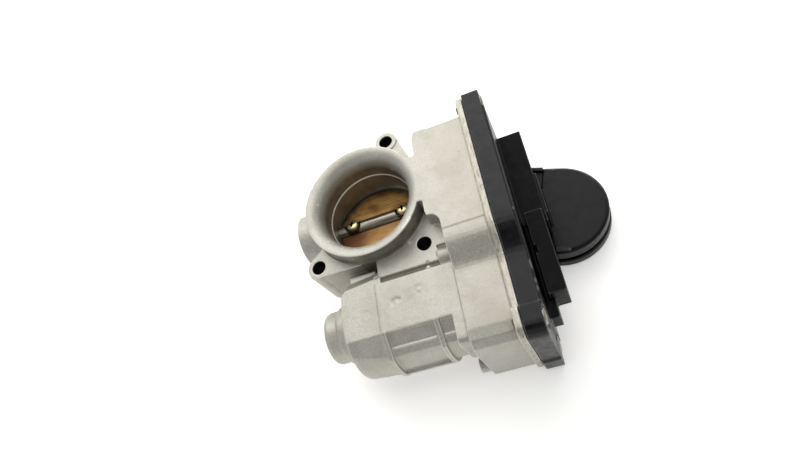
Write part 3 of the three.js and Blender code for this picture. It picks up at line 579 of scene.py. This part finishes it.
def joint_crust(look, grey, x):
    """Pale crust and brown grease along the joint with the cover."""
    patches = look.spread(look.noise(8, 5), 0.3, 0.7, 0.15, 0.55)
    handled = look.product(look.spread(x, COVER_JOINT - 26.2, COVER_JOINT + 0.8), patches)
    grey = look.mixed(handled, grey, rgb(0.38, 0.355, 0.29))
    joint = look.spread(x, COVER_JOINT, COVER_JOINT + 1.0)
    flakes = look.noise(1.3, 5, look.stretched((1.0, 0.25, 0.5)), rough=0.75)
    pale = look.product(joint, look.spread(flakes, 0.48, 0.62, 0, 0.4))
    grey = look.mixed(pale, grey, rgb(0.66, 0.62, 0.51))
    brown = look.product(joint, look.spread(flakes, 0.46, 0.38, 0, 0.7))
    grey = look.mixed(brown, grey, rgb(0.17, 0.12, 0.07))
    seam = look.within(x, COVER_JOINT - 0.4, COVER_JOINT + 0.35, 0.45)
    seam = look.product(seam, look.spread(flakes, 0.35, 0.6, 0.1, 0.7))
    return look.mixed(seam, grey, rgb(0.23, 0.17, 0.10))


def cast_aluminium():
    look = Look("cast_aluminium", 0.5, 0.62)
    x, y, z = (look.axis(which) for which in "XYZ")
    radius = look.bore_radius()
    inside = look.spread(radius, 26.2, 25.8)
    wall = bell_wall_shade(look, radius, z)
    ring = plate_gap_shadow(look, radius, y, z)
    fine = look.noise(0.9, 4, rough=0.75)

    grey = bare_casting(look, fine)
    # painted shade: the bell's upright outer wall is darkened
    grey = look.mixed(wall, grey, rgb(0.12, 0.105, 0.075))
    # the funnel is darkened more and more towards its foot
    grey = look.mixed(funnel_darkening(look, inside, z), grey, rgb(0.142, 0.130, 0.100))
    # painted shadow: a black ring on the bore at the butterfly's edge
    grey = look.mixed(ring, grey, rgb(0.012, 0.010, 0.007))
    # painted shade in the recess under the flange beside the motor
    grey = look.mixed(motor_pocket_shade(look, x, y, z), grey, rgb(0.10, 0.085, 0.055))
    # painted highlight on the narrow ledge in front of that recess
    grey = look.mixed(motor_ledge_highlight(look, x, y, z), grey, rgb(0.92, 0.90, 0.82))
    # the machined step is painted pale, partly bare metal and partly painted highlight
    grey = look.mixed(bore_step_highlight(look, radius, z), grey, rgb(0.95, 0.90, 0.78))
    # painted shade inside the bolt holes
    for centre in BOLT_CENTRES:
        grey = look.mixed(bolt_hole_shade(look, centre, z), grey, rgb(0.012, 0.011, 0.010))
    grey = joint_crust(look, grey, x)
    # outer edges are painted lighter, partly as wear and partly as painted highlight, but not on
    # the bell wall's painted shade
    off_wall_shade = look.maths("SUBTRACT", 1.0, wall, clamp=True)
    worn = look.product(look.edges(0.508, 0.545, 0.6), off_wall_shade)
    look.colour(look.mixed(worn, grey, rgb(0.86, 0.83, 0.74)))

    # the bored wall is smooth and scored in rings, and the rest is rough and pitted
    bored = look.product(inside, look.spread(z, FUNNEL_FOOT + 0.4, FUNNEL_FOOT))
    rough = look.mixed_number(bored, look.spread(fine, 0.3, 0.7, 0.40, 0.55), 0.34)
    look.roughness(look.mixed_number(ring, rough, 0.95))
    look.bump(look.noise(0.5, 3, rough=0.6), 0.06)
    look.bump(look.noise(3.5, 3), 0.12)
    pits = look.spread(look.noise(0.9, 2, rough=0.3), 0.72, 0.80)
    look.bump(look.maths("SUBTRACT", 1.0, pits), 0.12)
    rings = look.node("ShaderNodeTexWave", {"bands_direction": "Z"}, Vector=look.place,
                      Scale=420.0, Distortion=0.4, Detail=1.0)
    look.bump(look.product(rings.outputs["Fac"], bored), 0.012)
    return look.material


def black_plastic():
    look = Look("black_plastic", 0.36, 0.0)
    dust = look.spread(look.noise(6, 6, rough=0.7), 0.45, 0.75)
    black = look.mixed(dust, rgb(0.0025, 0.0027, 0.0034), rgb(0.0065, 0.0065, 0.0067))
    specks = look.spread(look.noise(0.8, 2, rough=0.9), 0.77, 0.82, 0, 0.5)
    black = look.mixed(specks, black, rgb(0.06, 0.06, 0.057))
    # the outer edges are painted lighter grey as a painted highlight
    look.colour(look.mixed(look.edges(0.51, 0.56, 0.7), black, rgb(0.13, 0.135, 0.14)))

    # the boxes on the cover's face are wiped clean and shine less than its dusty rim
    x = look.axis("X")
    boxes = look.within(x, COVER_BOX_FOOT, COVER_BOX_FACE - 0.05, 0.4)
    shine = look.spread(x, COVER_BOX_FACE - 0.3, COVER_BOX_FACE + 0.3, 0.29, 0.17)
    specular = look.shader.inputs["Specular IOR Level"]
    specular.default_value = 0.2
    look.feed(specular, look.product(shine, look.spread(boxes, 0, 1, 1.0, 0.2)))
    look.roughness(look.spread(look.noise(4, 5), 0.3, 0.7, 0.28, 0.42))
    look.bump(look.noise(0.35, 2), 0.02)
    look.bump(look.noise(9, 3), 0.12)
    return look.material


def rolled_brass(look, streaks):
    """Gold metal with rolling streaks and burnt patches."""
    gold = look.mixed(
        look.spread(streaks, 0.25, 0.75), rgb(0.60, 0.33, 0.10), rgb(1.0, 0.64, 0.22))
    bands = look.noise(5.0, 3, look.stretched((0.2, 1, 1), centre=ORIGIN))
    gold = look.mixed(look.spread(bands, 0.40, 0.68, 0, 0.55), gold, rgb(0.36, 0.17, 0.055))
    burnt = look.spread(look.noise(8, 3), 0.44, 0.66, 0, 0.85)
    return look.mixed(burnt, gold, rgb(0.34, 0.12, 0.045))


def plate_dirt_and_shadow(look, gold):
    """Soot round the plate's rim, and painted shadow round its two screws."""
    rim = look.spread(look.bore_radius(), 16.5, 22.4)
    darkening = look.product(rim, look.spread(look.noise(5, 4), 0.25, 0.6, 0.55, 1.0))
    gold = look.mixed(darkening, gold, rgb(0.06, 0.032, 0.016))
    for x in (-PLATE_SCREW_X, PLATE_SCREW_X):
        # painted shadow round the screw's head
        ring = look.spread(look.bore_radius((x, 0.0)), 6.2, 4.2, 0, 0.8)
        gold = look.mixed(ring, gold, rgb(0.04, 0.025, 0.014))
    return gold


def heat_tints_and_shade(look, gold, streaks):
    """Rust above the shaft, and below it a golden middle between brown and red sides, with the half
    on the negative y side darkened as painted shade.
    """
    x, y = look.axis("X"), look.axis("Y")
    # painted shade: darkens the half of the plate on the negative y side
    gold = look.mixed(look.spread(y, -3, 6, 0.75, 0.0), gold, rgb(0.21, 0.105, 0.026))
    glow = look.product(look.spread(y, -6, -13), look.spread(streaks, 0.42, 0.62, 0, 0.6))
    gold = look.mixed(glow, gold, rgb(0.78, 0.50, 0.13))
    rust = look.product(look.spread(y, 4, 10), look.spread(streaks, 0.50, 0.36, 0, 0.55))
    gold = look.mixed(rust, gold, rgb(0.42, 0.16, 0.03))
    below = look.spread(y, -2, -5)
    left = look.product(below, look.spread(x, -1, -12, 0, 0.88))
    gold = look.mixed(left, gold, rgb(0.12, 0.040, 0.014))
    right = look.product(below, look.spread(x, 4, 14, 0, 0.55))
    return look.mixed(right, gold, rgb(0.34, 0.085, 0.03))


def oily_brass():
    look = Look("throttle_brass", 0.5, 0.45)
    streaks = look.noise(0.8, 4, look.stretched((0.03, 1, 1), centre=ORIGIN), rough=0.7)
    gold = plate_dirt_and_shadow(look, rolled_brass(look, streaks))
    look.colour(heat_tints_and_shade(look, gold, streaks))
    look.roughness(look.spread(streaks, 0.3, 0.7, 0.40, 0.54))
    look.bump(streaks, 0.010)
    return look.material


def worked_steel(name, light, dark, roughness, streak_axis=None, grain=0.6, extra_shade=None):
    """Metal with tool marks, grime and painted shade in its inner corners and, if asked, a painted
    shade mask of its own.
    """
    look = Look(name, roughness, 1.0)
    scale = [1.0, 1.0, 1.0]
    if streak_axis is not None:
        scale[streak_axis] = 0.06
    marks = look.noise(grain, 3, look.stretched(scale), rough=0.65)
    patches = look.noise(5, 4)
    tone = look.mixed(look.spread(marks, 0.3, 0.7), dark, light)
    tone = look.mixed(look.spread(patches, 0.5, 0.8, 0, 0.5), tone, dark)
    darkening = rgb(0.022, 0.018, 0.010)
    # inner corners are darkened, partly as grime and partly as painted shade
    tone = look.mixed(look.hollows(0.49, 0.42, 0.85), tone, darkening)
    # the extra mask darkens as painted shade
    if extra_shade is not None:
        tone = look.mixed(extra_shade(look), tone, darkening)
    look.colour(tone)
    look.roughness(look.spread(marks, 0.3, 0.7, roughness * 0.75, roughness * 1.35))
    look.bump(marks, 0.006)
    return look.material


def near_plate_screws(look, inner, outer):
    """Mask of what lies near either plate screw's axis, and the height along that axis."""
    flat = look.stretched([1 / MM] * 3, (-REST_TILT, 0, 0), ORIGIN)
    apart = look.node("ShaderNodeSeparateXYZ", Vector=flat)
    spots = []
    for x in (-PLATE_SCREW_X, PLATE_SCREW_X):
        along = look.maths("SUBTRACT", apart.outputs["X"], x)
        spots.append(look.spread(look.distance(along, apart.outputs["Y"]), outer, inner))
    return look.maths("ADD", *spots), apart.outputs["Z"]


def recess_shade(look):
    """Painted shade in the cross recesses of the two plate screws."""
    near, height = near_plate_screws(look, 2.2, 2.4)
    return look.product(near, look.spread(height, 5.3, 4.9, 0, 0.95))


def pocket_shadow(look):
    """Painted shadow round the two plate screws' heads, in the pockets of the shaft."""
    near, height = near_plate_screws(look, 4.2, 5.0)
    return look.product(near, look.spread(height, 0.0, 0.5, 0, 0.92))


def moulded_nylon():
    look = Look("nylon", 0.45, 0.0)
    look.shader.inputs["Subsurface Weight"].default_value = 0.15
    look.shader.inputs["Subsurface Radius"].default_value = (0.002, 0.0015, 0.001)
    tone = look.mixed(look.noise(7, 3), rgb(0.72, 0.67, 0.54), rgb(0.62, 0.56, 0.42))
    look.colour(tone)
    look.bump(look.noise(0.4, 2), 0.015)
    return look.material


def soft_rubber():
    look = Look("rubber", 0.75, 0.0)
    look.colour(look.mixed(look.noise(3, 4), rgb(0.012, 0.012, 0.012), rgb(0.03, 0.03, 0.028)))
    look.bump(look.noise(0.3, 3), 0.02)
    return look.material


def sintered_magnet():
    look = Look("magnet", 0.6, 0.35)
    look.colour(look.mixed(look.grains(0.3), rgb(0.05, 0.05, 0.055), rgb(0.12, 0.12, 0.125)))
    look.bump(look.noise(0.25, 3), 0.02)
    return look.material


def circuit_board():
    look = Look("board", 0.35, 0.0, Coat_Weight=0.4)
    tracks = look.node("ShaderNodeTexBrick", Vector=look.stretched((1, 1, 1), (0, math.pi / 2, 0)),
                       Scale=260.0, Mortar_Size=0.03)
    tracks.inputs["Color1"].default_value = rgb(0.012, 0.10, 0.04)
    tracks.inputs["Color2"].default_value = rgb(0.016, 0.12, 0.05)
    tracks.inputs["Mortar"].default_value = rgb(0.05, 0.22, 0.10)
    look.colour(tracks.outputs["Color"])
    look.bump(tracks.outputs["Fac"], 0.02)
    return look.material


def table_top():
    look = Look("table_top", 0.55, 0.0)
    look.colour(look.mixed(look.noise(60, 3), rgb(0.90, 0.895, 0.875), rgb(0.93, 0.925, 0.905)))
    look.shader.inputs["Emission Color"].default_value = rgb(1.0, 0.99, 0.965)
    look.shader.inputs["Emission Strength"].default_value = 0.36
    return look.material


LOOKS = {
    "cast_aluminium": cast_aluminium(),
    "black_plastic": black_plastic(),
    "throttle_brass": oily_brass(),
    "steel": worked_steel("steel", rgb(0.42, 0.39, 0.34), rgb(0.24, 0.22, 0.18), 0.30),
    "turned_shaft": worked_steel(
        "turned_shaft", rgb(0.42, 0.395, 0.34), rgb(0.20, 0.18, 0.145), 0.32, 0, 1.4,
        pocket_shadow),
    "zinc_yellow": worked_steel(
        "zinc_yellow", rgb(0.80, 0.74, 0.46), rgb(0.46, 0.40, 0.20), 0.32,
        extra_shade=recess_shade),
    "bronze": worked_steel("bronze", rgb(0.62, 0.42, 0.20), rgb(0.40, 0.25, 0.11), 0.38),
    "copper": worked_steel("copper", rgb(0.60, 0.33, 0.20), rgb(0.30, 0.18, 0.12), 0.45),
    "tin": worked_steel("tin", rgb(0.80, 0.79, 0.76), rgb(0.62, 0.61, 0.59), 0.2),
    "nylon": moulded_nylon(),
    "rubber": soft_rubber(),
    "magnet": sintered_magnet(),
    "board": circuit_board(),
}


def wear(thing, slot, look=None):
    """Gives a piece its material slot, with that slot's usual look or another one."""
    thing.data.materials.clear()
    thing.data.materials.append(LOOKS[look or slot])


# ---------------------------------------------------------------- main casting
def casting_extras(bm):
    """A short raised edge of the die's parting line, fused to the front of the motor barrel."""
    block(bm, *PARTING_BLOCK)


def press_ring(spots, centre, radius, depth, width, share):
    """Sinks the share of a ring between two angles into the motor's flat top."""
    offset = spots[:, :2] - np.array(centre)
    distance = np.linalg.norm(offset, axis=1)
    angle = np.arctan2(offset[:, 1], offset[:, 0]) % math.tau
    on_top = np.abs(spots[:, 2] - MOTOR_FLAT_TOP) < 0.3
    ring = 1 - ramp(np.abs(distance - radius), width * 0.3, width)
    inside = (angle >= share[0]) & (angle <= share[1])
    spots[:, 2] -= depth * ring * on_top * inside


def funnel_wall(z):
    rise = np.clip(1 - (BELL_TOP - z) / FLARE_DEPTH, 0, 1)
    return FUNNEL_RADIUS + FLARE_WIDTH * (1 - np.sqrt(1 - rise * rise))


def motor_wall(x):
    return np.interp(x, MOTOR_WALL_PLACES, MOTOR_WALL_RADII)


def true_up_casting(spots, normals):
    """Makes the casting's round walls exact again after the moulding."""
    upright = [
        (BORE_RADIUS, (MANIFOLD_FACE, FUNNEL_FOOT)),
        (BARREL_RADIUS, (MANIFOLD_FACE, FLANGE_TOP - 4)),
        (BELL_RADIUS, (FLANGE_TOP - 1, BELL_TOP - 1.2)),
    ]
    for radius, span in upright:
        true_up(spots, normals, 2, (0, 0), steady(radius), span)
    true_up(spots, normals, 2, (0, 0), funnel_wall, (FUNNEL_FOOT + 0.4, BELL_TOP - 2))
    for centre in BOLT_CENTRES:
        true_up(spots, normals, 2, centre, steady(BOLT_HOLE_RADIUS), (BOLT_FOOT, FLANGE_TOP))
        true_up(spots, normals, 2, centre, steady(EAR_RADIUS), (MANIFOLD_FACE, FLANGE_TOP))
    lying = [
        (SHAFT_BOSS_CENTRE, steady(SHAFT_BOSS_RADIUS), SHAFT_BOSS_ENDS),
        (MOTOR_CENTRE, steady(MOTOR_NOSE_RADIUS), MOTOR_NOSE_ENDS),
        (MOTOR_CENTRE, motor_wall, (MOTOR_WALL_PLACES[0], MOTOR_WALL_PLACES[-1])),
        (MOTOR_CENTRE, steady(MOTOR_PANEL_RADIUS), MOTOR_PANEL_ENDS),
    ]
    for centre, wall, span in lying:
        true_up(spots, normals, 0, centre, wall, span)
    crisp_lip(spots)


def make_casting():
    casting = moulded("throttle_housing_casting", "throttle_housing", 0.36, 3, casting_extras, 0.45)
    mesh = casting.data
    spots = vertices_of(mesh)
    true_up_casting(spots, normals_of(mesh))
    for mark in EJECTOR_MARKS:
        press_ring(spots, *mark)
    set_vertices(mesh, spots)
    wear(casting, "cast_aluminium")


# ---------------------------------------------------------------- gear cover and dust cap
def make_cover():
    cover = moulded("gear_cover_moulding", "gear_cover", 0.36, 2)
    spots, normals = vertices_of(cover.data), normals_of(cover.data)
    foot_radius = TOWER_RADIUS - TOWER_STEP_WIDTH
    true_up(spots, normals, 2, TOWER_CENTRE, steady(TOWER_RADIUS), (TOWER_STEP, TOWER_TOP))
    true_up(spots, normals, 2, TOWER_CENTRE, steady(foot_radius), (TOWER_FOOT, TOWER_STEP))
    set_vertices(cover.data, spots)
    wear(cover, "black_plastic")


def make_dust_cap():
    cap = moulded("dust_cap_moulding", "connector_dust_cap", 0.3, 3, keep=0.5)
    spots, normals = vertices_of(cap.data), normals_of(cap.data)
    true_up(spots, normals, 2, TOWER_CENTRE, steady(TOWER_RADIUS + CAP_PROUD), CAP_ENDS)
    set_vertices(cap.data, spots)
    wear(cap, "black_plastic")


# ---------------------------------------------------------------- butterfly, shaft and screws
def tilted(thing):
    """Turns a piece made flat into the butterfly's rest pose, then lets it ride."""
    turn = (
        Matrix.Translation(ORIGIN) @ Matrix.Rotation(REST_TILT, 4, "X")
        @ Matrix.Translation(-ORIGIN)
    )
    thing.data.transform(turn)
    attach(thing, "throttle")
    return thing


def make_plate():
    half = PLATE_THICKNESS / 2
    radius = BORE_RADIUS - GAP
    bm = bmesh.new()
    lathe(bm, [
        (0, -half), (radius - 0.5, -half), (radius - 0.12, -half + 0.12), (radius, -half + 0.45),
        (radius, half - 0.45), (radius - 0.12, half - 0.12), (radius - 0.5, half), (0, half),
    ], (0, 0, 0), 192)
    plate = smooth(tilted(from_bmesh("butterfly_disc", bm)), 30)
    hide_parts("throttle_plate")
    wear(plate, "throttle_brass")


def make_shaft():
    shaft = moulded("throttle_shaft_turned", "throttle_shaft", 0.26, 2, keep=0.5)
    spots, normals = vertices_of(shaft.data), normals_of(shaft.data)
    true_up(spots, normals, 0, (0, 0), steady(SHAFT_RADIUS), SHAFT_ENDS)
    set_vertices(shaft.data, spots)
    wear(shaft, "steel", "turned_shaft")


def threaded_shank(radius, start, end):
    """Profile of a threaded shank from its tip to its head, as (radius, along) rings."""
    root = radius - 0.45 * THREAD_PITCH
    profile = [(0, start), (root, start)]
    for i in range(int((end - start) / THREAD_PITCH)):
        foot = start + i * THREAD_PITCH
        profile.append((root, foot + 0.05 * THREAD_PITCH))
        profile.append((radius, foot + 0.5 * THREAD_PITCH))
        profile.append((root, foot + 0.95 * THREAD_PITCH))
    profile.append((root, end))
    return profile


def cross_bar(spin, half, width, floor, top, place, axis):
    """One tapering bar of a cross recess, as a solid that cuts."""
    bm = bmesh.new()
    for vert in bmesh.ops.create_cube(bm, size=2)["verts"]:
        low = vert.co.z < 0
        reach = half * (0.45 if low else 1)
        breadth = width * (0.55 if low else 1)
        local = Vector((vert.co.x * reach, vert.co.y * breadth, floor if low else top))
        local = Matrix.Rotation(spin, 3, "Z") @ local
        if axis == "X":
            local = Vector((local.z, local.x, local.y))
        vert.co = at(*(local + Vector(place)))
    return from_bmesh("cutter", bm)


def cut_cross(thing, half, width, floor, top, place, axis="Z"):
    """Cuts a screwdriver recess of two crossed bars into a screw's head."""
    for spin in (0, math.pi / 2):
        cutter = cross_bar(spin, half, width, floor, top, place, axis)
        tool = thing.modifiers.new("recess", "BOOLEAN")
        tool.operation = "DIFFERENCE"
        tool.solver = "EXACT"
        tool.object = cutter
        applied(thing)
        bpy.data.objects.remove(cutter)


def make_plate_screw(number, x):
    """An M4 pan-head screw, made upright and then tilted with the butterfly."""
    place = (x, 0, 0)
    bm = bmesh.new()
    profile = threaded_shank(1.9, -4.4, 3.2)
    profile += [
        (3.3, 3.2), (3.5, 3.35), (3.5, 4.0), (3.35, 4.55), (2.9, 5.05), (2.2, 5.38),
        (1.2, 5.55), (0, 5.6),
    ]
    lathe(bm, profile, place, 64)
    screw = from_bmesh(f"plate_screw_{number}_detailed", bm)
    cut_cross(screw, 2.3, 0.62, 3.7, 5.8, place)
    smooth(tilted(screw), 35)
    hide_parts(f"plate_screw_{number}")
    wear(screw, "zinc_yellow")


def make_cover_screw(number, y, z):
    """A pan-head screw that holds the cover on, lying along the shaft's axis."""
    place = (0, y, z)
    bm = bmesh.new()
    profile = threaded_shank(2.0, 55.0, 66.0)
    profile += [
        (3.6, 66.0), (3.8, 66.2), (3.8, 68.0), (3.65, 68.4), (3.2, 68.75), (0, 68.8),
    ]
    lathe(bm, profile, place, 48, "X")
    screw = from_bmesh(f"cover_screw_{number}_detailed", bm)
    cut_cross(screw, 2.2, 0.5, 67.2, 69.2, place, "X")
    smooth(screw, 35)
    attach(screw, "housing")
    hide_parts(f"cover_screw_{number}")
    wear(screw, "steel")


def make_spring():
    """The return spring, as a round wire where the CAD has a faceted coil."""
    sides = 12
    steps = SPRING_TURNS * 60
    bm = bmesh.new()
    rings = []
    for i in range(steps + 1):
        turn = math.tau * SPRING_TURNS * i / steps
        along = SPRING_START + SPRING_LENGTH * i / steps
        outward = Vector((0, math.cos(turn), math.sin(turn)))
        ring = []
        for k in range(sides):
            around = math.tau * k / sides
            spot = outward * (SPRING_RADIUS + SPRING_WIRE_RADIUS * math.cos(around))
            spot.x = along + SPRING_WIRE_RADIUS * math.sin(around)
            ring.append(bm.verts.new(at(*spot)))
        rings.append(ring)
    for a, b in zip(rings, rings[1:]):
        for k in range(sides):
            bm.faces.new((a[k], a[(k + 1) % sides], b[(k + 1) % sides], b[k]))
    bm.faces.new(rings[0])
    bm.faces.new(rings[-1])
    spring = smooth(from_bmesh("return_spring_wire", bm), 40)
    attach(spring, "housing")
    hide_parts("return_spring")
    wear(spring, "steel")


# ---------------------------------------------------------------- the pieces kept from the CAD
def finish_cad_nodes(replaced):
    """Gives every CAD node that still shows its material and small worn edges."""
    slots = {entry["node"]: entry["material_slot"] for entry in frame["record"]["subparts"]}
    for node, thing in frame["nodes"].items():
        if node in replaced:
            continue
        wear_cad(thing, slots[node])
        edges = thing.modifiers.new("edges", "BEVEL")
        edges.limit_method = "ANGLE"
        edges.angle_limit = math.radians(35)
        edges.width = CAD_EDGE_WIDTH * MM
        edges.segments = 2


def wear_cad(thing, slot):
    """Puts the slot's look on a CAD node, whose mesh stays as it is."""
    if not thing.material_slots:
        thing.data.materials.append(LOOKS[slot])
    for entry in thing.material_slots:
        entry.material = LOOKS[slot]


def make_dark_card():
    """A black card behind the camera, which the surfaces that face the camera mirror."""
    bm = bmesh.new()
    bmesh.ops.create_grid(bm, x_segments=1, y_segments=1, size=CARD_HALF)
    card = from_bmesh("dark_card", bm)
    card.location = CARD_PLACE
    card.rotation_euler = Vector(CARD_PLACE).to_track_quat("Z", "Y").to_euler()
    look = Look("black_card", 0.9)
    look.colour(look.mixed(look.noise(30, 2), rgb(0.01, 0.01, 0.01), rgb(0.02, 0.02, 0.02)))
    card.data.materials.append(look.material)


def make_table():
    bm = bmesh.new()
    bmesh.ops.create_grid(bm, x_segments=1, y_segments=1, size=TABLE_HALF)
    table = from_bmesh("table_top", bm)
    table.data.materials.append(table_top())


make_camera()
make_studio()
make_table()
make_dark_card()
make_casting()
make_cover()
make_dust_cap()
make_plate()
make_shaft()
for index, x_place in enumerate((-PLATE_SCREW_X, PLATE_SCREW_X), 1):
    make_plate_screw(index, x_place)
for index, (y_place, z_place) in enumerate(COVER_SCREWS, 1):
    make_cover_screw(index, y_place, z_place)
make_spring()
finish_cad_nodes({
    "throttle_housing", "gear_cover", "connector_dust_cap", "throttle_plate", "throttle_shaft",
    "plate_screw_1", "plate_screw_2", "return_spring",
    "cover_screw_1", "cover_screw_2", "cover_screw_3", "cover_screw_4",
})
